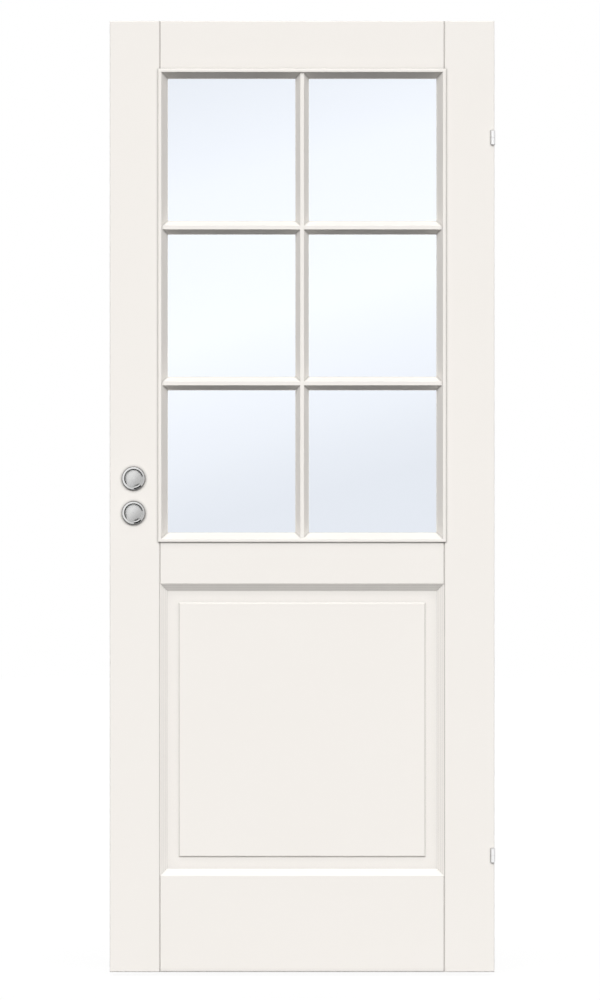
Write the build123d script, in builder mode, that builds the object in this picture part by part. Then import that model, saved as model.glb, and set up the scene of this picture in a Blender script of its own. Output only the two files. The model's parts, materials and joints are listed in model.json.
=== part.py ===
from build123d import *
import os
from math import cos, radians, sin

# Interior door leaf, glazed in six lights above a raised and fielded panel, with its mortise
# lock, its blank rosettes and its pair of lift-off hinges. Millimetres. X runs across the leaf
# towards the hinges, Y from the front face to the back face and Z upwards. The origin lies
# under the middle of the leaf, halfway through its thickness.

# Leaf: two full-height stiles with three rails between them
leaf_width = 825
leaf_height = 2040
leaf_thickness = 40
stile_width = 107.5
top_rail_height = 106.5
lock_rail_height = 93
bottom_rail_height = 206
panel_opening_height = 627
arris_radius = 2
joint_chamfer = 1.9
overrun = 5

# Dowels that join each rail to the stiles
dowel_radius = 8
dowel_length = 110
dowel_clearance = 0.1
dowel_end_gap = 1
pair_shares = (0.28, 0.72)
triple_shares = (0.2, 0.5, 0.78)

# Raised and fielded panel, its tongue lying in a groove of the stiles and rails
groove_depth = 10
tongue_length = 9
tongue_thickness = 12
tongue_clearance = 0.2
panel_edge_gap = 0.5
margin_depth = 11
margin_width = 24.8
field_depth = 8
field_bevel = 2.8

# Panel moulding: bevels one below the other, each starting with a small step
mould_width = 15.3
mould_bevels = 4
mould_step = 0.9
mould_foot = 0.6

# Glass pane, its setting blocks and the tape under the beads and bars
glass_thickness = 4
glass_edge_gap = 3
tape_thickness = 1
tape_inset = 4
tape_width = 10
bar_tape_width = 16
block_length = 60
block_clearance = 0.25
block_place_share = 0.5

# Glazing bead, a moulding that laps the frame and stands proud of it
bead_lap = 4
bead_proud = 4
bead_flat_width = 7.1
bead_width = 16.7
bead_arris = 1.8
quirk_drop = 2.2
quirk_run = 1
square_height = 1.5
square_run = 0.8

# Glazing bars, one upright and two rows across
bar_flat_width = 8.2
bar_width = 29.2
bar_drop = 0.3
bar_arris = 0.5
bar_rows = ("lower", "upper")

# Mortise lock
backset = 51
lock_above_rail = 25
turn_to_handle = 74
forend_thickness = 3
forend_width = 22
forend_past_case = 24
forend_clearance = 0.2
forend_screw_inset = 9
case_past_spindle = 30
case_thickness = 15
case_wall = 1.5
bolt_room = 5
mortise_clearance = 0.5
bolt_clearance = 0.3
journal_clearance = 0.05
post_radius = 2.2
post_clearance = 0.3

# Latch bolt and the follower that draws it in
latch_height = 22
latch_length = 30
latch_bevel = 3
latch_tail_height = 9.5
latch_post_inset = 38
hook_thickness = 3
hook_overlap = 1.5
handle_turn = 38
handle_hub_radius = 9
handle_journal_radius = 8
handle_square = 8
handle_arm_reach = 17
handle_arm_tip_radius = 3
arm_slack = 0.25
arm_gap = 0.5
arm_neck_share = 0.75

# Dead bolt and the follower that throws it
dead_bolt_height = 20
dead_bolt_end = 16
dead_bolt_post_inset = 28
dead_bolt_arris = 1
turn_angle = 90
crank_hangs_at = 180
turn_hub_radius = 7
turn_journal_radius = 6
turn_square = 6
turn_arm_reach = 9.9
turn_arm_tip_radius = 2.5
crank_slack = 0.4

# Blank rosettes: a pressed cap on a screwed plate
rosette_radius = 25.5
rosette_edge_radius = 2
rosette_ring_width = 3.2
rosette_slope_run = 2.2
rosette_ring_rise = 1.8
rosette_dome = 0.8
rosette_wall = 1
rosette_fit = 0.2
plate_thickness = 1.8
plate_to_dish = 0.4
plate_hole_radius = 10
plate_screw_radius = 15.5
handle_hole_radius = 10.5
turn_hole_radius = 8

# Hinges, let into the edge with the knuckle at the front face
hinge_inset = 250
hinge_height = 30
hinge_axis_inset = 3.25
knuckle_radius = 5
knuckle_gap = 0.4
knuckle_cap = 2.5
pin_radius = 2
pin_clearance = 0.05
wing_thickness = 1.75
wing_gap = 0.4
wing_depth = 28
wing_corner_radius = 2
notch_width = 8.9
notch_height = 31
notch_depth = 6
wing_screw_spacing = 18
wing_screw_place_share = 0.6

# Screws, all countersunk
screw_clearance = 0.1
forend_screw_head = 4
forend_screw_shank = 2
forend_screw_length = 25
plate_screw_head = 2.8
plate_screw_shank = 1.3
plate_screw_length = 11
wing_screw_head = 3.2
wing_screw_shank = 2
wing_screw_length = 30
wing_hole_radius = 2.2
screw_point_share = 0.15

# Places worked out from the sizes above
half_width = leaf_width / 2
half_thickness = leaf_thickness / 2
opening_half = half_width - stile_width
panel_bottom = bottom_rail_height
panel_top = panel_bottom + panel_opening_height
glass_bottom = panel_top + lock_rail_height
glass_top = leaf_height - top_rail_height
lock_edge = -half_width
hinge_edge = half_width
faces_of_leaf = {"front": -1, "back": 1}
rails = {
    "top_rail": (glass_top, leaf_height, pair_shares),
    "lock_rail": (panel_top, glass_bottom, pair_shares),
    "bottom_rail": (0, bottom_rail_height, triple_shares),
}

os.makedirs("parts", exist_ok=True)


def save(piece, name):
    """Label one finished piece and write it to its own file."""
    piece.label = name
    export_step(piece, f"parts/{name}.step")


def block(x_range, y_range, z_range, mode=Mode.ADD):
    """A box between two limits on each axis."""
    limits = (x_range, y_range, z_range)
    with Locations(tuple((low + high) / 2 for low, high in limits)):
        Box(*(high - low for low, high in limits), mode=mode)


def about(middle, half):
    """The limits that lie half to each side of a middle."""
    return middle - half, middle + half


def countersunk(seat, inward, head, shank, length, slack=0, mode=Mode.ADD):
    """A countersunk screw with its head flush at the seat, or the hole that takes it."""
    point = length * screw_point_share
    plane = Plane(origin=seat, x_dir=(0, 0, 1), z_dir=Vector(0, 0, 1).cross(Vector(inward)))
    with BuildSketch(plane, mode=Mode.PRIVATE) as half_section:
        with BuildLine():
            Polyline(
                (0, 0),
                (head + slack, 0),
                (shank + slack, head - shank),
                (shank + slack, length - point),
                (0, length + slack),
                close=True,
            )
        make_face()
    revolve(half_section.sketch, axis=Axis(seat, inward), mode=mode)


# Stiles and rails


def dowel_places(rail):
    """Heights of one rail's dowels."""
    bottom, top, shares = rails[rail]
    return [bottom + share * (top - bottom) for share in shares]


def bore_dowels(rail, side):
    """Cut one rail's dowel holes across the joint on one side."""
    reach = dowel_length / 2 + dowel_end_gap
    for height in dowel_places(rail):
        with Locations(Location((side * opening_half, 0, height), (0, 90, 0))):
            Cylinder(dowel_radius + dowel_clearance, 2 * reach, mode=Mode.SUBTRACT)


def stile_blank(side):
    """A stile with its arrises eased, its panel groove cut and its dowel holes bored."""
    width = sorted((side * opening_half, side * half_width))
    with BuildPart() as stile:
        block(width, about(0, half_thickness), (0, leaf_height))
        outer_first = stile.edges().filter_by(Axis.Z).sort_by(Axis.X, reverse=side > 0)
        chamfer(outer_first[2:], joint_chamfer)
        outer_first = stile.edges().filter_by(Axis.Z).sort_by(Axis.X, reverse=side > 0)
        fillet(outer_first[:2] + stile.edges().filter_by(Axis.X), arris_radius)
        groove = sorted((side * (opening_half - overrun), side * (opening_half + groove_depth)))
        block(
            groove,
            about(0, tongue_thickness / 2 + tongue_clearance),
            (panel_bottom - groove_depth, panel_top + groove_depth),
            Mode.SUBTRACT,
        )
        for rail in rails:
            bore_dowels(rail, side)
    return stile.part


for rail, (bottom, top, _) in rails.items():
    with BuildPart() as rail_piece:
        block(about(0, opening_half), about(0, half_thickness), (bottom, top))
        chamfer(rail_piece.edges().filter_by(Axis.Z), joint_chamfer)
        lengthwise = rail_piece.edges().filter_by(Axis.X).group_by(Axis.Z)
        if top == leaf_height:
            fillet(lengthwise[-1], arris_radius)
        if bottom == 0:
            fillet(lengthwise[0], arris_radius)
        for panel_edge in (panel_bottom, panel_top):
            if panel_edge in (bottom, top):
                block(
                    about(0, opening_half + overrun),
                    about(0, tongue_thickness / 2 + tongue_clearance),
                    about(panel_edge, groove_depth),
                    Mode.SUBTRACT,
                )
        for side in (-1, 1):
            bore_dowels(rail, side)
    save(rail_piece.part, rail)

with BuildPart() as rail_dowels:
    for rail in rails:
        for side in (-1, 1):
            for height in dowel_places(rail):
                with Locations(Location((side * opening_half, 0, height), (0, 90, 0))):
                    Cylinder(dowel_radius, dowel_length)
save(rail_dowels.part, "rail_dowels")


# Panel, the same on both faces

panel_middle = (panel_bottom + panel_top) / 2
panel_half_height = panel_opening_height / 2
field_inset = mould_width + margin_width

with BuildPart() as panel:
    block(
        about(0, opening_half + tongue_length),
        about(0, tongue_thickness / 2),
        about(panel_middle, panel_half_height + tongue_length),
    )
    block(
        about(0, opening_half - panel_edge_gap),
        about(0, half_thickness - margin_depth),
        about(panel_middle, panel_half_height - panel_edge_gap),
    )
    block(
        about(0, opening_half - field_inset),
        about(0, half_thickness - field_depth),
        about(panel_middle, panel_half_height - field_inset),
    )
    field_faces = panel.faces().filter_by(Axis.Y).sort_by(Axis.Y)
    chamfer(field_faces[0].edges() + field_faces[-1].edges(), field_bevel)
save(panel.part, "panel")


# Mouldings: each length is cut to 45 degrees and runs along one side of an opening


def stick_plane(edge, side, bottom, top):
    """Where a length of moulding starts, and how long the side of the opening is."""
    middle = (bottom + top) / 2
    middles = {
        "top": (Vector(0, 0, top), Vector(0, 0, -1), opening_half),
        "bottom": (Vector(0, 0, bottom), Vector(0, 0, 1), opening_half),
        "left": (Vector(-opening_half, 0, middle), Vector(1, 0, 0), (top - bottom) / 2),
        "right": (Vector(opening_half, 0, middle), Vector(-1, 0, 0), (top - bottom) / 2),
    }
    on_edge, inward, half_length = middles[edge]
    outward = Vector(0, side, 0)
    along = inward.cross(outward)
    start = on_edge + outward * half_thickness - along * half_length
    return Plane(origin=start, x_dir=inward, z_dir=along), 2 * half_length


def mitred_stick(section, plane, length, lap):
    """One length of moulding with both ends mitred."""
    start_cut = Plane(origin=plane.origin, z_dir=plane.z_dir - plane.x_dir)
    end_point = plane.origin + plane.z_dir * length
    end_cut = Plane(origin=end_point, z_dir=-plane.z_dir - plane.x_dir)
    with BuildPart() as stick:
        extrude(plane.offset(-lap) * section, amount=length + 2 * lap)
        split(bisect_by=start_cut, keep=Keep.TOP)
        split(bisect_by=end_cut, keep=Keep.TOP)
    return stick.part


# Sections lie with X inwards from the opening's edge and Y outwards from the leaf's face
bevel_run = mould_width / mould_bevels
bevel_fall = (margin_depth - mould_foot) / mould_bevels
stepped = [(0, -margin_depth)]
for bevel in range(mould_bevels):
    stepped.append((bevel * bevel_run, -bevel * bevel_fall - mould_step))
    stepped.append(((bevel + 1) * bevel_run, -(bevel + 1) * bevel_fall))
with BuildSketch() as mould_section:
    with BuildLine():
        Polyline(*stepped, (mould_width, -margin_depth), close=True)
    make_face()

bead_back = half_thickness - glass_thickness / 2 - tape_thickness


def sloped_side(flat_edge, flat_height, foot):
    """The points of the quirk, slope and square foot from a flat down to the glass."""
    square_top = square_height - bead_back
    return [
        (flat_edge, flat_height),
        (flat_edge + quirk_run, flat_height - quirk_drop),
        (foot - square_run, square_top),
        (foot, square_top),
        (foot, -bead_back),
    ]


with BuildSketch() as bead_section:
    with BuildLine():
        Polyline(
            (-bead_lap, 0),
            (-bead_lap, bead_proud),
            *sloped_side(bead_flat_width - bead_lap, bead_proud, bead_width),
            (0, -bead_back),
            (0, 0),
            close=True,
        )
    make_face()
    fillet(bead_section.vertices().group_by(Axis.Y)[-1], bead_arris)

bar_half = bar_width / 2
with BuildSketch() as bar_section:
    with BuildLine():
        Polyline(
            (0, -bar_drop),
            *sloped_side(bar_flat_width / 2, -bar_drop, bar_half),
            (0, -bead_back),
            close=True,
        )
    make_face()
    mirror(about=Plane.YZ)
    fillet(bar_section.vertices().group_by(Axis.Y)[-1], bar_arris)


def bar_piece(plane, length, coped_to):
    """A length of glazing bar, its ends coped to the pieces that it meets."""
    with BuildPart() as bar:
        extrude(plane * bar_section.sketch, amount=length)
        for neighbour in coped_to:
            add(neighbour, mode=Mode.SUBTRACT)
    return bar.part


glazed_height = glass_top - glass_bottom - 2 * bead_width
row_pitch = (glazed_height + bar_width) / (len(bar_rows) + 1)
first_bar = glass_bottom + bead_width + row_pitch - bar_half
bar_heights = {row: first_bar + index * row_pitch for index, row in enumerate(bar_rows)}

for face, side in faces_of_leaf.items():
    outward = Vector(0, side, 0)
    beads = {}
    for edge in ("top", "bottom", "left", "right"):
        plane, length = stick_plane(edge, side, panel_bottom, panel_top)
        save(mitred_stick(mould_section.sketch, plane, length, 0), f"panel_mould_{face}_{edge}")
        plane, length = stick_plane(edge, side, glass_bottom, glass_top)
        beads[edge] = mitred_stick(bead_section.sketch, plane, length, bead_lap)
        save(beads[edge], f"glazing_bead_{face}_{edge}")

    on_face = outward * half_thickness
    across = outward.cross(Vector(0, 0, 1))
    upright_plane = Plane(
        origin=on_face + Vector(0, 0, glass_bottom), x_dir=across, z_dir=(0, 0, 1)
    )
    upright = bar_piece(upright_plane, glass_top - glass_bottom, (beads["top"], beads["bottom"]))
    save(upright, f"glazing_bar_{face}_upright")
    for row, height in bar_heights.items():
        for hand, sign in (("left", -1), ("right", 1)):
            along = Vector(sign, 0, 0)
            plane = Plane(
                origin=on_face + Vector(0, 0, height), x_dir=outward.cross(along), z_dir=along
            )
            half_bar = bar_piece(plane, opening_half, (beads[hand], upright))
            save(half_bar, f"glazing_bar_{face}_{row}_{hand}")


# Glass, tape and setting blocks

glass_half = opening_half - glass_edge_gap
glass_middle = (glass_bottom + glass_top) / 2
glass_half_height = (glass_top - glass_bottom) / 2 - glass_edge_gap

with BuildPart() as glass_pane:
    block(
        about(0, glass_half), about(0, glass_thickness / 2), about(glass_middle, glass_half_height)
    )
save(glass_pane.part, "glass_pane")

tape_half = opening_half - tape_inset
tape_half_height = (glass_top - glass_bottom) / 2 - tape_inset
for face, side in faces_of_leaf.items():
    tape_plane = Plane(
        origin=(0, side * glass_thickness / 2, glass_middle), x_dir=(1, 0, 0), z_dir=(0, side, 0)
    )
    with BuildPart() as tape:
        with BuildSketch(tape_plane):
            Rectangle(2 * tape_half, 2 * tape_half_height)
            Rectangle(
                2 * (tape_half - tape_width), 2 * (tape_half_height - tape_width), mode=Mode.SUBTRACT
            )
            Rectangle(bar_tape_width, 2 * tape_half_height)
            with Locations(*((0, side * (glass_middle - z)) for z in bar_heights.values())):
                Rectangle(2 * tape_half, bar_tape_width)
        extrude(amount=tape_thickness)
    save(tape.part, f"glazing_tape_{face}")

with BuildPart() as setting_blocks:
    block_half = glass_thickness / 2 + tape_thickness - block_clearance
    for side in (-1, 1):
        block(
            about(side * block_place_share * opening_half, block_length / 2),
            about(0, block_half),
            (glass_bottom, glass_bottom + glass_edge_gap),
        )
save(setting_blocks.part, "setting_blocks")


# Lock: places that its pieces share

spindle_x = lock_edge + backset
case_front = lock_edge + forend_thickness
case_back = spindle_x + case_past_spindle
case_bottom = glass_bottom + lock_above_rail
cavity_half = case_thickness / 2 - case_wall
bolt_half = cavity_half - bolt_clearance
half_turn = radians(handle_turn / 2)
half_crank = radians(turn_angle / 2)

dead_bolt_throw = 2 * turn_arm_reach * sin(half_crank)
dead_bolt_bottom = case_bottom + case_wall + bolt_room
dead_bolt_middle = dead_bolt_bottom + dead_bolt_height / 2
dead_bolt_back = spindle_x + dead_bolt_end
turn_height = dead_bolt_bottom + dead_bolt_height + arm_gap + turn_hub_radius
crank_notch_x = spindle_x + turn_arm_reach * sin(half_crank)
crank_notch_bottom = turn_height - turn_arm_reach - turn_arm_tip_radius - arm_gap
dead_bolt_post_x = lock_edge + dead_bolt_post_inset

latch_throw = 2 * handle_arm_reach * sin(half_turn)
handle_height = turn_height + turn_to_handle
tail_bottom = handle_height + handle_arm_reach + handle_arm_tip_radius + arm_gap
latch_middle = tail_bottom + latch_tail_height / 2
hook_face = spindle_x + handle_arm_reach * sin(half_turn) + handle_arm_tip_radius + arm_slack
hook_bottom = handle_height + handle_arm_reach * cos(half_turn) - hook_overlap
latch_post_x = lock_edge + latch_post_inset

case_top = latch_middle + latch_height / 2 + bolt_room + case_wall
lock_middle = (case_bottom + case_top) / 2
forend_height = case_top - case_bottom + 2 * forend_past_case

posts = ((latch_post_x, latch_middle), (dead_bolt_post_x, dead_bolt_middle))
journals = ((handle_height, handle_journal_radius), (turn_height, turn_journal_radius))
bolts = ((latch_middle, latch_height), (dead_bolt_middle, dead_bolt_height))
forend_screw_heights = about(lock_middle, forend_height / 2 - forend_screw_inset)
rosette_heights = {"upper": handle_height, "lower": turn_height}
plate_screw_xs = about(spindle_x, plate_screw_radius)


def across_lock(x, z, radius, y_range, mode):
    """A round post or hole that runs through the lock from front to back."""
    with Locations(Location((x, sum(y_range) / 2, z), (90, 0, 0))):
        Cylinder(radius, y_range[1] - y_range[0], mode=mode)


def cut_journals(y_range):
    """Cut the bearings of both followers through one wall of the case."""
    for height, radius in journals:
        across_lock(spindle_x, height, radius + journal_clearance, y_range, Mode.SUBTRACT)


def forend_screw_pair(slack, mode):
    """The two screws of the forend, or their holes."""
    for z in forend_screw_heights:
        countersunk(
            (lock_edge, 0, z),
            (1, 0, 0),
            forend_screw_head,
            forend_screw_shank,
            forend_screw_length,
            slack,
            mode,
        )


with BuildPart() as lock_case:
    block((case_front, case_back), (-cavity_half, case_thickness / 2), (case_bottom, case_top))
    block(
        (case_front + case_wall, case_back - case_wall),
        (-cavity_half - overrun, cavity_half),
        (case_bottom + case_wall, case_top - case_wall),
        Mode.SUBTRACT,
    )
    for middle, height in bolts:
        block(
            about(case_front, case_wall + bolt_clearance),
            (-cavity_half - overrun, cavity_half),
            about(middle, height / 2 + bolt_clearance),
            Mode.SUBTRACT,
        )
    for x, z in posts:
        across_lock(x, z, post_radius, (-case_thickness / 2, cavity_half), Mode.ADD)
    cut_journals((cavity_half - overrun, case_thickness / 2 + overrun))
save(lock_case.part, "lock_case")

with BuildPart() as lock_cover:
    cover_range = (-case_thickness / 2, -cavity_half)
    block((case_front, case_back), cover_range, (case_bottom, case_top))
    for x, z in posts:
        across_lock(x, z, post_radius, cover_range, Mode.SUBTRACT)
    cut_journals(cover_range)
save(lock_cover.part, "lock_cover")

forend_plane = Plane(origin=(lock_edge, 0, lock_middle), x_dir=(0, 0, 1), z_dir=(1, 0, 0))
with BuildPart() as forend:
    with BuildSketch(forend_plane):
        SlotOverall(forend_height, forend_width)
    extrude(amount=forend_thickness)
    for middle, height in bolts:
        block(
            about(lock_edge, forend_thickness + overrun),
            about(0, cavity_half),
            about(middle, height / 2 + bolt_clearance),
            Mode.SUBTRACT,
        )
    forend_screw_pair(screw_clearance, Mode.SUBTRACT)
save(forend.part, "forend")

with BuildPart() as latch_bolt:
    with BuildSketch(Plane.XZ):
        with Locations((lock_edge + latch_length / 2, latch_middle)):
            Rectangle(latch_length, latch_height)
        tail_end = hook_face + hook_thickness
        tail_start = lock_edge + latch_length
        with Locations(((tail_start + tail_end) / 2, latch_middle)):
            Rectangle(tail_end - tail_start, latch_tail_height)
        with Locations((hook_face + hook_thickness / 2, (hook_bottom + latch_middle) / 2)):
            Rectangle(hook_thickness, latch_middle - hook_bottom)
        with Locations((latch_post_x + latch_throw / 2, latch_middle)):
            SlotCenterToCenter(latch_throw, 2 * (post_radius + post_clearance), mode=Mode.SUBTRACT)
    extrude(amount=bolt_half, both=True)
    nose = latch_bolt.faces().sort_by(Axis.X)[0]
    chamfer(nose.edges().filter_by(Axis.Z), latch_bevel)
save(latch_bolt.part, "latch_bolt")

with BuildPart() as dead_bolt:
    with BuildSketch(Plane.XZ):
        with Locations(((lock_edge + dead_bolt_back) / 2, dead_bolt_middle)):
            Rectangle(dead_bolt_back - lock_edge, dead_bolt_height)
        with Locations((crank_notch_x, (crank_notch_bottom + turn_height) / 2)):
            Rectangle(
                2 * (turn_arm_tip_radius + crank_slack),
                turn_height - crank_notch_bottom,
                mode=Mode.SUBTRACT,
            )
        with Locations((dead_bolt_post_x + dead_bolt_throw / 2, dead_bolt_middle)):
            SlotCenterToCenter(dead_bolt_throw, 2 * (post_radius + post_clearance), mode=Mode.SUBTRACT)
    extrude(amount=bolt_half, both=True)
    chamfer(dead_bolt.faces().sort_by(Axis.X)[0].edges(), dead_bolt_arris)
save(dead_bolt.part, "dead_bolt")


def follower(height, hub, journal, square, reach, tip, lean):
    """A hub with a square hole and one arm, turning on a journal in each wall of the case."""
    centre = Plane(origin=(spindle_x, 0, height), x_dir=(1, 0, 0), z_dir=(0, -1, 0))
    with BuildPart() as piece:
        with BuildSketch(centre):
            Circle(hub)
            with Locations(Rotation(0, 0, lean)):
                with Locations((0, reach / 2)):
                    Rectangle(2 * tip * arm_neck_share, reach)
                with Locations((0, reach)):
                    Circle(tip)
        extrude(amount=bolt_half, both=True)
        with BuildSketch(centre):
            Circle(journal)
        extrude(amount=case_thickness / 2, both=True)
        with BuildSketch(centre):
            Rectangle(square, square)
        extrude(amount=case_thickness, both=True, mode=Mode.SUBTRACT)
    return piece.part


handle_follower = follower(
    handle_height,
    handle_hub_radius,
    handle_journal_radius,
    handle_square,
    handle_arm_reach,
    handle_arm_tip_radius,
    handle_turn / 2,
)
save(handle_follower, "handle_follower")

turn_follower = follower(
    turn_height,
    turn_hub_radius,
    turn_journal_radius,
    turn_square,
    turn_arm_reach,
    turn_arm_tip_radius,
    crank_hangs_at + turn_angle / 2,
)
save(turn_follower, "turn_follower")

with BuildPart() as forend_screws:
    forend_screw_pair(0, Mode.ADD)
save(forend_screws.part, "forend_screws")


# Rosettes


ring_outer = rosette_radius - rosette_edge_radius
ring_inner = ring_outer - rosette_ring_width
dish_radius = ring_inner - rosette_slope_run
dish_height = plate_thickness + plate_to_dish + rosette_wall
ring_height = dish_height + rosette_ring_rise


def cap_section(inset):
    """Half of a rosette cap's section, X out from its axis and Y up from the leaf's face."""
    with BuildSketch(mode=Mode.PRIVATE) as section:
        with BuildLine():
            crown = (0, dish_height + rosette_dome - inset)
            dish_edge = (dish_radius, dish_height - inset)
            ring_edge = (ring_outer - inset, ring_height - inset)
            side_top = (rosette_radius - inset, ring_height - rosette_edge_radius - inset)
            Line((0, 0), crown)
            TangentArc(crown, dish_edge, tangent=(1, 0))
            Polyline(dish_edge, (ring_inner, ring_height - inset), ring_edge)
            TangentArc(ring_edge, side_top, tangent=(1, 0))
            Polyline(side_top, (rosette_radius - inset, 0), (0, 0))
        make_face()
    return section.sketch


def rosette_plane(side, height):
    """A plane across a rosette with Y out from the leaf's face."""
    return Plane(
        origin=(spindle_x, side * half_thickness, height), x_dir=(side, 0, 0), z_dir=(0, 0, 1)
    )


def plate_screws(slack, mode):
    """The screws of all rosette plates, or their holes."""
    for height in rosette_heights.values():
        for side in faces_of_leaf.values():
            for x in plate_screw_xs:
                countersunk(
                    (x, side * (half_thickness + plate_thickness), height),
                    (0, -side, 0),
                    plate_screw_head,
                    plate_screw_shank,
                    plate_screw_length,
                    slack,
                    mode,
                )


for level, height in rosette_heights.items():
    for face, side in faces_of_leaf.items():
        plane = rosette_plane(side, height)
        turning = Axis(plane.origin, plane.y_dir)
        with BuildPart() as rosette_cap:
            revolve(plane * cap_section(0), axis=turning)
            revolve(plane * cap_section(rosette_wall), axis=turning, mode=Mode.SUBTRACT)
        save(rosette_cap.part, f"rosette_cap_{face}_{level}")

with BuildPart() as rosette_plates:
    for height in rosette_heights.values():
        for side in faces_of_leaf.values():
            face_plane = Plane(
                origin=(spindle_x, side * half_thickness, height), x_dir=(1, 0, 0), z_dir=(0, side, 0)
            )
            with BuildSketch(face_plane):
                Circle(rosette_radius - rosette_wall - rosette_fit)
                Circle(plate_hole_radius, mode=Mode.SUBTRACT)
            extrude(amount=plate_thickness)
    plate_screws(screw_clearance, Mode.SUBTRACT)
save(rosette_plates.part, "rosette_plates")

with BuildPart() as rosette_screws:
    plate_screws(0, Mode.ADD)
save(rosette_screws.part, "rosette_screws")

with BuildPart() as lock_stile:
    add(stile_blank(-1))
    with BuildSketch(forend_plane):
        SlotOverall(forend_height + 2 * forend_clearance, forend_width + 2 * forend_clearance)
    extrude(amount=forend_thickness, mode=Mode.SUBTRACT)
    block(
        (lock_edge, case_back + mortise_clearance),
        about(0, case_thickness / 2 + mortise_clearance),
        (case_bottom - mortise_clearance, case_top + mortise_clearance),
        Mode.SUBTRACT,
    )
    spindle_range = about(0, half_thickness + overrun)
    across_lock(spindle_x, handle_height, handle_hole_radius, spindle_range, Mode.SUBTRACT)
    across_lock(spindle_x, turn_height, turn_hole_radius, spindle_range, Mode.SUBTRACT)
    forend_screw_pair(screw_clearance, Mode.SUBTRACT)
    plate_screws(screw_clearance, Mode.SUBTRACT)
save(lock_stile.part, "lock_stile")


# Hinges: the leaf's half carries the upper knuckle, the frame's half the lower knuckle and pin

hinge_heights = {"lower": hinge_inset, "upper": leaf_height - hinge_inset}
axis_x = hinge_edge - hinge_axis_inset
axis_y = -half_thickness
wing_start = axis_y + knuckle_radius + knuckle_gap
wing_end = axis_y + wing_depth
wing_screw_y = wing_start + wing_screw_place_share * (wing_end - wing_start)
leaf_wing = (hinge_edge - wing_gap - wing_thickness, hinge_edge - wing_gap)
frame_wing = (hinge_edge, hinge_edge + wing_thickness)


def wing_screw_places(height, x):
    """Where the two screws of one wing enter it."""
    return [(x, wing_screw_y, z) for z in about(height, wing_screw_spacing / 2)]


def wing_screws(height, slack, mode):
    """The screws of one hinge's wing on the leaf, or their holes."""
    for seat in wing_screw_places(height, leaf_wing[1]):
        countersunk(
            seat,
            (-1, 0, 0),
            wing_screw_head,
            wing_screw_shank,
            wing_screw_length,
            slack,
            mode,
        )


def knuckled_wing(height, wing, z_range):
    """A wing that rolls into its knuckle over part of the hinge's height."""
    with BuildPart() as half_hinge:
        block(wing, (wing_start, wing_end), about(height, hinge_height / 2))
        corners = half_hinge.edges().filter_by(Axis.X).group_by(Axis.Y)[-1]
        fillet(corners, wing_corner_radius)
        block(wing, (axis_y, wing_start), z_range)
        with Locations((axis_x, axis_y, sum(z_range) / 2)):
            Cylinder(knuckle_radius, z_range[1] - z_range[0])
    return half_hinge.part


for level, height in hinge_heights.items():
    upper_range = (height + knuckle_gap / 2, height + hinge_height / 2)
    lower_range = (height - hinge_height / 2, height - knuckle_gap / 2)
    pin_top = upper_range[1] - knuckle_cap

    with BuildPart() as hinge_leaf:
        add(knuckled_wing(height, leaf_wing, upper_range))
        with Locations((axis_x, axis_y, (upper_range[0] + pin_top) / 2)):
            Cylinder(
                pin_radius + pin_clearance, pin_top + knuckle_gap - upper_range[0], mode=Mode.SUBTRACT
            )
        wing_screws(height, screw_clearance, Mode.SUBTRACT)
    save(hinge_leaf.part, f"hinge_leaf_{level}")

    with BuildPart() as hinge_frame:
        add(knuckled_wing(height, frame_wing, lower_range))
        with Locations((axis_x, axis_y, sum(lower_range) / 2)):
            Cylinder(pin_radius, lower_range[1] - lower_range[0], mode=Mode.SUBTRACT)
        for seat in wing_screw_places(height, frame_wing[0]):
            countersunk(
                seat,
                (1, 0, 0),
                wing_screw_head,
                wing_hole_radius,
                wing_screw_length,
                0,
                Mode.SUBTRACT,
            )
    save(hinge_frame.part, f"hinge_frame_{level}")

    with BuildPart() as hinge_pin:
        with Locations((axis_x, axis_y, (lower_range[0] + pin_top) / 2)):
            Cylinder(pin_radius, pin_top - lower_range[0])
    save(hinge_pin.part, f"hinge_pin_{level}")

with BuildPart() as hinge_screws:
    for height in hinge_heights.values():
        wing_screws(height, 0, Mode.ADD)
save(hinge_screws.part, "hinge_screws")

with BuildPart() as hinge_stile:
    add(stile_blank(1))
    for height in hinge_heights.values():
        block(
            (hinge_edge - notch_width, hinge_edge + overrun),
            (axis_y - overrun, axis_y + notch_depth),
            about(height, notch_height / 2),
            Mode.SUBTRACT,
        )
        block(
            (leaf_wing[0], hinge_edge + overrun),
            (axis_y - overrun, wing_end + knuckle_gap),
            about(height, hinge_height / 2 + knuckle_gap),
            Mode.SUBTRACT,
        )
        wing_screws(height, screw_clearance, Mode.SUBTRACT)
save(hinge_stile.part, "hinge_stile")
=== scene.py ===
import json
import math

import bpy
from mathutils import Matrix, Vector


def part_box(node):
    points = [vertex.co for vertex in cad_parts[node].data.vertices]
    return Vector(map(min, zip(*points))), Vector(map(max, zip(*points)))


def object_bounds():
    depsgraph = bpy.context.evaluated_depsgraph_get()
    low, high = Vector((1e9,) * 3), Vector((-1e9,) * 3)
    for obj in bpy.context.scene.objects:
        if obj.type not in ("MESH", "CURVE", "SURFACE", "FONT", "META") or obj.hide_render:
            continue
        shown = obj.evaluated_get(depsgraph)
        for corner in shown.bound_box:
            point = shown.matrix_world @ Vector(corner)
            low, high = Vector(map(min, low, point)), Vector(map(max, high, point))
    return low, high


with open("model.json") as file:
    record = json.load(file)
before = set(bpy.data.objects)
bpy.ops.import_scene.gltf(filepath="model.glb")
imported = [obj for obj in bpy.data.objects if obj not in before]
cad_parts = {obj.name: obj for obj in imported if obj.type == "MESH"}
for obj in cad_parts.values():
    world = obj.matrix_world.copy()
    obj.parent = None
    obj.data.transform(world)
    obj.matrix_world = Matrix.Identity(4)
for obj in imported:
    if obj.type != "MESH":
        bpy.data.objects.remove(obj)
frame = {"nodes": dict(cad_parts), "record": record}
cad_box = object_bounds()

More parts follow.
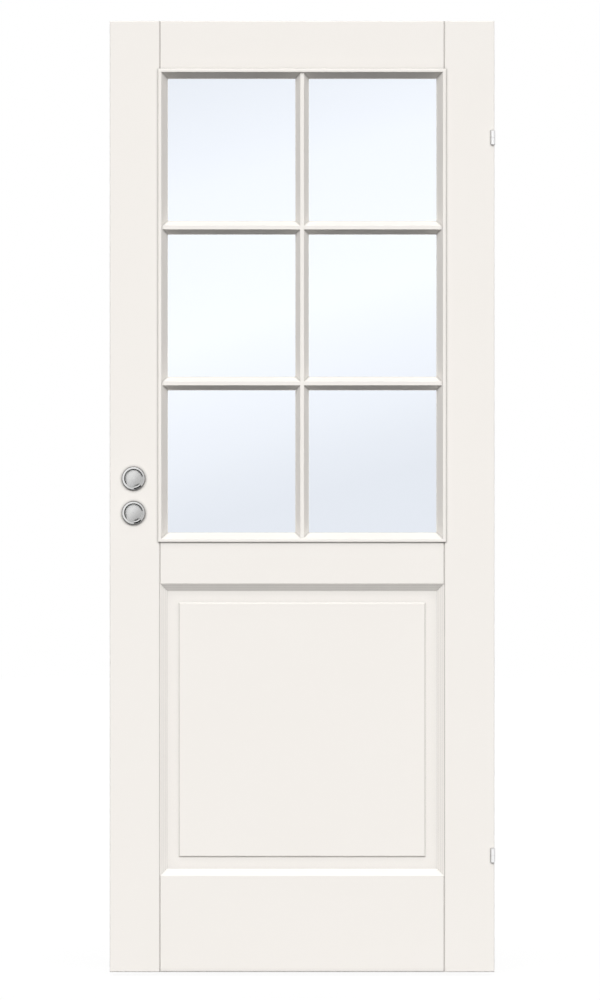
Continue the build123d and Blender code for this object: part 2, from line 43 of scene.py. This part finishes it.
# Looks of a white interior door leaf: satin paint over wood, clear glass, chrome rosettes and
# the metal of its lock and hinges. Metres, in the frame of the solids.

# Axes that grain and brush lines follow, directions in the leaf's face, and planes that face it
across, up = 0, 2
in_face = (1, 0, 1)
quarter_turn = math.radians(90)
facing_leaf = (quarter_turn, 0, 0)

# Where the leaf stands in the photograph, in pixels
photo_width, photo_height = 600, 1000
leaf_left, leaf_right = 109.6, 494.6
leaf_top, leaf_bottom = 21.5, 971.5

# Camera: a long lens, straight on, with its sensor in millimetres
camera_distance = 18
camera_clip_end = 72
sensor_height = 24

# Light: a dome in front of the leaf, strongest high up, and two lamps for the back
white = (1, 1, 1, 1)
dome_level = 7.22
dome_focus = 2
dome_span = (0.1, 0.5)
back_elevation = math.radians(15)
back_spread = math.radians(20)
back_lamps = {
    "left": dict(turn=math.radians(-20), level=1.8),
    "right": dict(turn=math.radians(20), level=1.2),
}

# Floor: pale to the eye, but it throws little light back
floor_size = 60
floor_albedo = 0.12
floor_glow = 0.9
floor_gap = 0.008

# The card that the glass reflects, and its tones from the foot up
card_distance = 3
card_level = 4.8
card_lean = (-0.17, 1, 0)
card_tones = (
    (0.0, 0.0),
    (0.08, 0.16),
    (0.16, 0.39),
    (0.32, 0.73),
    (0.41, 0.94),
    (0.57, 0.82),
    (0.72, 0.72),
    (0.81, 0.52),
    (0.97, 0.22),
)

# What the rosettes reflect: strips round the axis of each, and a small card before its dish
drum_radii, gleam_radii = (0.034, 0.034), (0.033, 0.033)
drum_outs = (0.0122, 0.0176)
foot_outs = (0.0055, 0.0122)
brow_outs = (0.099, 0.099)
mark_outs = (0.02, 0.02)
strips = {
    "below": dict(radii=drum_radii, outs=drum_outs, turns=(-0.47, 0.11), tone=0.0),
    "above": dict(radii=drum_radii, outs=drum_outs, turns=(0.11, 0.53), tone=0.55),
    "gleam": dict(radii=gleam_radii, outs=drum_outs, turns=(0.26, 0.37), tone=1.0),
    "foot": dict(radii=drum_radii, outs=foot_outs, turns=(-0.42, -0.04), tone=0.0),
    "brow": dict(radii=(0.0347, 0.0405), outs=brow_outs, turns=(0.02, 0.6), tone=0.3),
    "crescent": dict(radii=(0.0191, 0.0202), outs=mark_outs, turns=(0.06, 0.57), tone=0.0),
    "ring_mark": dict(radii=(0.0197, 0.0238), outs=mark_outs, turns=(-0.247, -0.125), tone=0.0),
    "dish_mark": dict(radii=(0.0171, 0.0189), outs=mark_outs, turns=(-0.225, -0.135), tone=0.0),
}
strip_facets = 24
dish_card_size = 0.09
dish_card_distance = 0.1
dish_card_lean = (1, -0.6, 0)
dish_card_span = (0.03, 0.42)
dish_card_levels = (1.0, 0.64)

# Noise: the span in which most of its values lie
noise_span = (0.3, 0.7)

# Paint, darkened with painted shade in corners, in joints and beside the pieces that stand proud of
# it
paint_white = (0.896, 0.863, 0.823)
paint_shade = (0.884, 0.849, 0.806)
paint_roughness = (0.36, 0.46)
paint_gloss = 0.25
tone_scale = 5
sheen_scale = 25
peel_scale = 700
peel_detail = 1
peel_depth = 0.00003
fibre_across, fibre_along = 420, 9
fibre_detail = 4
fibre_depth = 0.00004
# Painted shade: how far it reaches, how dark it gets, the span of occlusion it follows, and its
# rays
painted_shade_reach = 0.006
rail_painted_shade_reach = 0.018
panel_painted_shade_reach = 0.035
painted_shade_tone = 0.52
painted_shade_span = (0.45, 0.97)
painted_shade_samples = 8

# Bare beech
beech_colour = (0.66, 0.43, 0.23)
beech_shade = (0.42, 0.24, 0.11)
beech_roughness = (0.55, 0.75)
beech_sheen_scale = 300
fleck_across, fleck_along = 900, 40
fleck_detail = 5
pore_across, pore_along = 1500, 60
pore_depth = 0.00006

# Glass
glass_tint = (0.82, 0.862, 0.93)
glass_index = 1.5
glass_wave_scale = 6
glass_wave_depth = 0.00002

# Foam of the tapes and blocks
foam_colour = (0.70, 0.69, 0.67)
foam_shade = (0.62, 0.61, 0.59)
foam_roughness = (0.6, 0.8)
foam_sheen_scale = 800
mottle_scale = 1500
cell_scale = 1800
cell_depth = 0.00005

# Metals, by their slots, and their brush lines
metals = {
    "brushed_steel": dict(
        name="brushed_steel",
        axis=up,
        colour=(0.62, 0.62, 0.61),
        shade=(0.54, 0.54, 0.53),
        roughness=(0.24, 0.36),
        metallic=1,
    ),
    "zinc_steel": dict(
        name="zinc_steel",
        axis=up,
        colour=(0.56, 0.57, 0.58),
        shade=(0.46, 0.47, 0.48),
        roughness=(0.3, 0.45),
        metallic=1,
    ),
    "bolt_metal": dict(
        name="nickel",
        axis=across,
        colour=(0.66, 0.65, 0.63),
        shade=(0.58, 0.57, 0.55),
        roughness=(0.18, 0.28),
        metallic=1,
    ),
    "hinge_metal": dict(
        name="bright_zinc",
        axis=up,
        colour=(0.82, 0.82, 0.82),
        shade=(0.78, 0.78, 0.78),
        roughness=(0.44, 0.54),
        metallic=0.5,
    ),
}
brush_across, brush_along = 2600, 30
brush_detail = 2
brush_depth = 0.000006

# Rosettes: the dish is satin, the ring round it polished, and its rim darkened with painted shade
# where it meets the leaf
dish_radius, rim_shade_radius = 0.0181, 0.0242
zone_blend = 0.0006
dish_colour = (0.63, 0.63, 0.625)
ring_colour = (0.76, 0.76, 0.755)
rim_painted_shade = (0.3, 0.3, 0.296)
ring_roughness = 0.08
dish_roughness = 0.18
satin_across, satin_along = 3000, 120
satin_detail = 2
satin_depth = 0.000004

nodes = frame["nodes"]


def box_middle(name):
    """The middle of a node's box."""
    low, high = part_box(name)
    return (Vector(low) + Vector(high)) / 2


# Shader nodes that materials and the studio share


def feed(tree, socket, value):
    """Give a socket a number or another node's output."""
    if isinstance(value, bpy.types.NodeSocket):
        tree.links.new(value, socket)
    else:
        socket.default_value = value


def reckon(tree, operation, first, second):
    """One sum on two values, each a socket or a number."""
    node = tree.nodes.new("ShaderNodeMath")
    node.operation = operation
    feed(tree, node.inputs[0], first)
    feed(tree, node.inputs[1], second)
    return node.outputs["Value"]


def reckon_vector(tree, operation, first, second):
    """One sum on two vectors, the first a socket and the second constant."""
    node = tree.nodes.new("ShaderNodeVectorMath")
    node.operation = operation
    tree.links.new(first, node.inputs[0])
    node.inputs[1].default_value = second
    return node.outputs["Value" if operation == "DOT_PRODUCT" else "Vector"]


def map_range(tree, value, span, levels):
    """A value brought from a span to two levels, and held at its ends."""
    node = tree.nodes.new("ShaderNodeMapRange")
    node.inputs["From Min"].default_value, node.inputs["From Max"].default_value = span
    node.inputs["To Min"].default_value, node.inputs["To Max"].default_value = levels
    tree.links.new(value, node.inputs["Value"])
    return node.outputs["Result"]


def colour_ramp(tree, value, stops):
    """A colour that follows a value from 0 to 1 through stops, each a place and a colour."""
    node = tree.nodes.new("ShaderNodeValToRGB")
    elements = node.color_ramp.elements
    while len(elements) < len(stops):
        elements.new(1)
    for element, (place, colour) in zip(elements, stops):
        element.position = place
        element.color = (*colour, 1)
    tree.links.new(value, node.inputs["Fac"])
    return node.outputs["Color"]


# Materials


class Finish:
    """A material with one principled shader, and the few kinds of node that these finishes use."""

    def __init__(self, name):
        self.material = bpy.data.materials.new(name)
        self.material.use_nodes = True
        self.tree = self.material.node_tree
        self.shader = self.tree.nodes["Principled BSDF"]
        self.place = self.add("ShaderNodeTexCoord").outputs["Object"]
        self.height = None

    def add(self, kind, **settings):
        node = self.tree.nodes.new(kind)
        for name, value in settings.items():
            setattr(node, name, value)
        return node

    def link(self, source, target):
        self.tree.links.new(source, target)

    def set(self, **sockets):
        """Write constants straight onto the shader's sockets."""
        for name, value in sockets.items():
            self.shader.inputs[name.replace("_", " ")].default_value = value

    def noise(self, scales, detail=3):
        """Noise between 0 and 1, with its own scale on each axis."""
        mapping = self.add("ShaderNodeMapping")
        mapping.inputs["Scale"].default_value = scales
        self.link(self.place, mapping.inputs["Vector"])
        noise = self.add("ShaderNodeTexNoise")
        noise.inputs["Scale"].default_value = 1
        noise.inputs["Detail"].default_value = detail
        self.link(mapping.outputs["Vector"], noise.inputs["Vector"])
        return noise.outputs["Fac"]

    def ranged(self, value, levels, span=noise_span):
        """A value brought from a span to two levels."""
        return map_range(self.tree, value, span, levels)

    def colour(self, colour):
        self.link(colour, self.shader.inputs["Base Color"])

    def between(self, value, first, last):
        """A colour between two others."""
        return colour_ramp(self.tree, value, ((0, first), (1, last)))

    def zones(self, value, stops):
        """Colours in steps along a value, which runs from nothing to the last of them."""
        end = stops[-1][0]
        share = self.ranged(value, (0, 1), (0, end))
        return colour_ramp(self.tree, share, [(place / end, colour) for place, colour in stops])

    def with_painted_shade(self, colour, reach):
        """A colour darkened with painted shade in corners and joints, where other surfaces lie
        close.
        """
        # Painted shade: ambient occlusion darkens the colour where other surfaces lie within reach
        occlusion = self.add("ShaderNodeAmbientOcclusion", samples=painted_shade_samples)
        occlusion.inputs["Distance"].default_value = reach
        share = self.ranged(occlusion.outputs["AO"], (painted_shade_tone, 1), painted_shade_span)
        shaded = self.add("ShaderNodeVectorMath", operation="SCALE")
        self.link(colour, shaded.inputs["Vector"])
        self.link(share, shaded.inputs["Scale"])
        return shaded.outputs["Vector"]

    def roughen(self, value):
        self.link(value, self.shader.inputs["Roughness"])

    def bump(self, value, depth):
        """Relief of a given depth, laid over the relief already there."""
        bump = self.add("ShaderNodeBump")
        bump.inputs["Strength"].default_value = 1
        bump.inputs["Distance"].default_value = depth
        self.link(value, bump.inputs["Height"])
        if self.height:
            self.link(self.height, bump.inputs["Normal"])
        self.height = bump.outputs["Normal"]
        self.link(self.height, self.shader.inputs["Normal"])


def evenly(number):
    """One number for all three axes, or for a grey's three channels."""
    return (number,) * 3


def along(axis, across_scale, along_scale):
    """Scales for lines that run along one axis."""
    return tuple(along_scale if i == axis else across_scale for i in range(3))


def painted_wood(name, axis, reach):
    """Satin spray paint, through which the grain of the wood just shows, darkened with painted
    shade in corners and joints.
    """
    finish = Finish(name)
    tone = finish.between(finish.noise(evenly(tone_scale)), paint_shade, paint_white)
    # The paint's colour, with painted shade in its corners and joints
    finish.colour(finish.with_painted_shade(tone, reach))
    finish.roughen(finish.ranged(finish.noise(evenly(sheen_scale)), paint_roughness))
    finish.bump(finish.noise(along(axis, fibre_across, fibre_along), fibre_detail), fibre_depth)
    finish.bump(finish.noise(evenly(peel_scale), peel_detail), peel_depth)
    finish.set(Specular_IOR_Level=paint_gloss)
    return finish.material


def bare_wood(name, axis):
    """Beech with its fine flecks and pores."""
    finish = Finish(name)
    flecks = finish.noise(along(axis, fleck_across, fleck_along), fleck_detail)
    finish.colour(finish.between(flecks, beech_shade, beech_colour))
    finish.roughen(finish.ranged(finish.noise(evenly(beech_sheen_scale)), beech_roughness))
    finish.bump(finish.noise(along(axis, pore_across, pore_along)), pore_depth)
    return finish.material


def clear_glass(name):
    """Float glass, almost flat, with a faint cool tint."""
    finish = Finish(name)
    finish.set(Base_Color=(*glass_tint, 1), Transmission_Weight=1, IOR=glass_index, Roughness=0)
    finish.bump(finish.noise(evenly(glass_wave_scale), detail=0), glass_wave_depth)
    return finish.material


def foam(name):
    """Closed-cell foam with a fine mottle."""
    finish = Finish(name)
    finish.colour(finish.between(finish.noise(evenly(mottle_scale)), foam_shade, foam_colour))
    finish.roughen(finish.ranged(finish.noise(evenly(foam_sheen_scale)), foam_roughness))
    finish.bump(finish.noise(evenly(cell_scale)), cell_depth)
    return finish.material


def brushed_metal(name, axis, colour, shade, roughness, metallic):
    """Plated steel with brush lines along one axis."""
    finish = Finish(name)
    lines = finish.noise(along(axis, brush_across, brush_along), brush_detail)
    finish.colour(finish.between(lines, shade, colour))
    finish.roughen(finish.ranged(lines, roughness))
    finish.bump(lines, brush_depth)
    finish.set(Metallic=metallic)
    return finish.material


def rosette_chrome(name, centre):
    """A polished ring round a satin dish, and a rim with painted shade, masked by the distance from
    the rosette's axis.
    """
    finish = Finish(name)
    finish.set(Metallic=1)
    offset = reckon_vector(finish.tree, "SUBTRACT", finish.place, centre)
    length = finish.add("ShaderNodeVectorMath", operation="LENGTH")
    finish.link(reckon_vector(finish.tree, "MULTIPLY", offset, in_face), length.inputs[0])
    radius = length.outputs["Value"]
    dish_edge = (dish_radius - zone_blend, dish_radius)
    finish.roughen(finish.ranged(radius, (dish_roughness, ring_roughness), dish_edge))
    satin = finish.noise(along(across, satin_across, satin_along), satin_detail)
    in_dish = finish.ranged(radius, (1, 0), dish_edge)
    finish.bump(reckon(finish.tree, "MULTIPLY", satin, in_dish), satin_depth)
    # Colours out from the axis: satin dish, polished ring, and the rim's painted shade where the
    # cap meets the face
    finish.colour(finish.zones(radius, (
        (dish_radius - zone_blend, dish_colour),
        (dish_radius, ring_colour),
        (rim_shade_radius - zone_blend, ring_colour),
        (rim_shade_radius, rim_painted_shade),
    )))
    return finish.material


def paint_kind(name):
    """A painted piece's kind: a rail or the panel, whose painted shade reaches further, or else the
    way its grain runs.
    """
    if name.endswith("rail"):
        return "rail"
    if name == "panel":
        return "panel"
    cross_bar = "glazing_bar" in name and "upright" not in name
    return "across" if cross_bar or name.endswith(("_top", "_bottom")) else "up"


# Copies of the paint that differ only in how far their painted shade reaches
paint = {
    "across": painted_wood("satin_paint_across", across, painted_shade_reach),
    "up": painted_wood("satin_paint_up", up, painted_shade_reach),
    "rail": painted_wood("satin_paint_rail", across, rail_painted_shade_reach),
    "panel": painted_wood("satin_paint_panel", up, panel_painted_shade_reach),
}
looks = {
    "bare_wood": bare_wood("beech", across),
    "glass": clear_glass("float_glass"),
    "seal": foam("pale_foam"),
}
looks.update({slot: brushed_metal(**metal) for slot, metal in metals.items()})

rosette_centres = {
    level: box_middle(f"rosette_cap_front_{level}") for level in ("upper", "lower")
}
slots = {row["node"]: row["material_slot"] for row in frame["record"]["subparts"]}
for name, obj in nodes.items():
    slot = slots[name]
    if slot == "painted_wood":
        look = paint[paint_kind(name)]
    elif slot == "chrome":
        look = rosette_chrome(f"chrome_{name}", rosette_centres[name.split("_")[-1]])
    else:
        look = looks[slot]
    for material_slot in obj.material_slots:
        material_slot.material = look

# The glass lets all light through, so that what stands behind it isn't in its shade
nodes["glass_pane"].visible_shadow = False
nodes["glass_pane"].visible_diffuse = False

# A pixel's size on the leaf, where the camera aims, and where the leaf's front face stands
leaf_height = cad_box[1][2] - cad_box[0][2]
pixel = leaf_height / (leaf_bottom - leaf_top)
aim_x = (photo_width / 2 - (leaf_left + leaf_right) / 2) * pixel
aim_z = leaf_height / 2 + ((leaf_top + leaf_bottom) / 2 - photo_height / 2) * pixel
front_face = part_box("lock_stile")[0][1]

# Studio: the world, the floor, what glass and rosettes reflect, the lamps behind and the camera


def generated(tree):
    """Coordinates that run from 0 to 1 over a stage piece, or the direction in the world."""
    return tree.nodes.new("ShaderNodeTexCoord").outputs["Generated"]


def seen_rays(tree):
    """1 for rays that show the background: the camera's, reflected ones and those through glass."""
    path = tree.nodes.new("ShaderNodeLightPath")
    seen = path.outputs["Is Camera Ray"]
    for kind in ("Is Glossy Ray", "Is Transmission Ray"):
        seen = reckon(tree, "MAXIMUM", seen, path.outputs[kind])
    return seen


def emission(tree, strength):
    """Light of a strength that is a number or a socket."""
    node = tree.nodes.new("ShaderNodeEmission")
    feed(tree, node.inputs["Strength"], strength)
    return node


def studio_world():
    """A world that shows white, and lights the leaf from a dome in front of it."""
    world = bpy.data.worlds.new("studio")
    world.use_nodes = True
    bpy.context.scene.world = world
    tree = world.node_tree
    direction = tree.nodes.new("ShaderNodeSeparateXYZ")
    tree.links.new(generated(tree), direction.inputs["Vector"])
    ahead = reckon(tree, "MAXIMUM", reckon(tree, "MULTIPLY", direction.outputs["Y"], -1), 0)
    climb = map_range(tree, direction.outputs["Z"], dome_span, (0, dome_level))
    light = reckon(tree, "MULTIPLY", reckon(tree, "POWER", ahead, dome_focus), climb)
    dome = tree.nodes["Background"]
    dome.inputs["Color"].default_value = white
    tree.links.new(light, dome.inputs["Strength"])
    backdrop = tree.nodes.new("ShaderNodeBackground")
    backdrop.inputs["Color"].default_value = white
    mix = tree.nodes.new("ShaderNodeMixShader")
    tree.links.new(seen_rays(tree), mix.inputs["Fac"])
    tree.links.new(dome.outputs["Background"], mix.inputs[1])
    tree.links.new(backdrop.outputs["Background"], mix.inputs[2])
    tree.links.new(mix.outputs["Shader"], tree.nodes["World Output"].inputs["Surface"])


def stage_plane(name, width, height, location, rotation=(0, 0, 0)):
    """A flat stage piece that isn't part of the object."""
    bpy.ops.mesh.primitive_plane_add(size=1, location=location, rotation=rotation)
    plane = bpy.context.object
    plane.name = name
    plane.scale = (width, height, 1)
    return plane


def stage_material(piece):
    """An empty material on a stage piece: its tree and the socket for its surface."""
    material = bpy.data.materials.new(piece.name)
    material.use_nodes = True
    material.node_tree.nodes.clear()
    piece.data.materials.append(material)
    output = material.node_tree.nodes.new("ShaderNodeOutputMaterial")
    return material.node_tree, output.inputs["Surface"]


def reflected_only(piece):
    """Let only mirrors and gloss see a stage piece."""
    piece.visible_camera = False
    piece.visible_diffuse = False
    piece.visible_transmission = False
    piece.visible_shadow = False


def pale_floor():
    """A matt floor close below the leaf, with a glow for the rays that show the background."""
    floor_height = cad_box[0][2] - floor_gap
    floor = stage_plane("floor", floor_size, floor_size, (0, 0, floor_height))
    tree, surface = stage_material(floor)
    matt = tree.nodes.new("ShaderNodeBsdfDiffuse")
    matt.inputs["Color"].default_value = (*evenly(floor_albedo), 1)
    glow = emission(tree, reckon(tree, "MULTIPLY", seen_rays(tree), floor_glow))
    both = tree.nodes.new("ShaderNodeAddShader")
    tree.links.new(matt.outputs["BSDF"], both.inputs[0])
    tree.links.new(glow.outputs["Emission"], both.inputs[1])
    tree.links.new(both.outputs["Shader"], surface)


def glass_card():
    """The card that the glass reflects, as large as its reflection seen from the camera."""
    glass_low, glass_high = (Vector(corner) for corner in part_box("glass_pane"))
    middle = (glass_low + glass_high) / 2
    growth = 1 + card_distance / camera_distance
    size = (glass_high - glass_low) * growth
    card_x = aim_x + (middle.x - aim_x) * growth
    card_z = aim_z + (middle.z - aim_z) * growth
    place = (card_x, -card_distance, card_z)
    card = stage_plane("card", size.x, size.z, place, facing_leaf)
    reflected_only(card)
    tree, surface = stage_material(card)
    height = reckon_vector(tree, "DOT_PRODUCT", generated(tree), card_lean)
    shine = emission(tree, card_level)
    greys = [(share, evenly(tone)) for share, tone in card_tones]
    tree.links.new(colour_ramp(tree, height, greys), shine.inputs["Color"])
    tree.links.new(shine.outputs["Emission"], surface)


def rosette_strip(name, centre, radii, outs, turns):
    """A strip round a rosette's axis.

    Its two edges have their own radii and distances out from the leaf's face. It runs between two
    places on the circle, given as shares of a turn, anticlockwise from the right.
    """
    start, end = turns
    shares = [i / strip_facets for i in range(strip_facets + 1)]
    angles = [math.tau * (start + (end - start) * share) for share in shares]
    points = [
        (centre.x + radius * math.cos(angle), front_face - out, centre.z + radius * math.sin(angle))
        for radius, out in zip(radii, outs)
        for angle in angles
    ]
    step = len(angles)
    facets = [(i, i + 1, step + i + 1, step + i) for i in range(strip_facets)]
    mesh = bpy.data.meshes.new(name)
    mesh.from_pydata(points, [], facets)
    strip = bpy.data.objects.new(name, mesh)
    bpy.context.collection.objects.link(strip)
    return strip


def rosette_stage(level, centre):
    """What one rosette reflects: its strips, and the card before its dish."""
    for part, row in strips.items():
        name = f"drum_{level}_{part}"
        strip = rosette_strip(name, centre, row["radii"], row["outs"], row["turns"])
        reflected_only(strip)
        tree, surface = stage_material(strip)
        tree.links.new(emission(tree, row["tone"]).outputs["Emission"], surface)
    name = f"dish_card_{level}"
    place = (centre.x, front_face - dish_card_distance, centre.z)
    card = stage_plane(name, dish_card_size, dish_card_size, place, facing_leaf)
    reflected_only(card)
    tree, surface = stage_material(card)
    lean = reckon_vector(tree, "DOT_PRODUCT", generated(tree), dish_card_lean)
    fade = map_range(tree, lean, dish_card_span, dish_card_levels)
    tree.links.new(emission(tree, fade).outputs["Emission"], surface)


def back_lamp(name, turn, level):
    """A wide lamp behind the leaf, turned to one side, which no reflection shows."""
    data = bpy.data.lights.new(name, "SUN")
    data.energy = level
    data.angle = back_spread
    lamp = bpy.data.objects.new(name, data)
    lamp.rotation_euler = (back_elevation - quarter_turn, 0, turn)
    lamp.visible_glossy = False
    lamp.visible_transmission = False
    bpy.context.collection.objects.link(lamp)


def photo_camera():
    """The camera, which looks straight at the middle of the photograph."""
    data = bpy.data.cameras.new("camera")
    data.sensor_fit = "VERTICAL"
    data.sensor_height = sensor_height
    data.lens = sensor_height * camera_distance / (photo_height * pixel)
    data.clip_end = camera_clip_end
    camera = bpy.data.objects.new("camera", data)
    camera.location = (aim_x, -camera_distance, aim_z)
    camera.rotation_euler = facing_leaf
    bpy.context.collection.objects.link(camera)
    bpy.context.scene.camera = camera


studio_world()
pale_floor()
glass_card()
for level, centre in rosette_centres.items():
    rosette_stage(level, centre)
for side, row in back_lamps.items():
    back_lamp(f"back_lamp_{side}", **row)
photo_camera()
bpy.context.scene.view_settings.view_transform = "Standard"
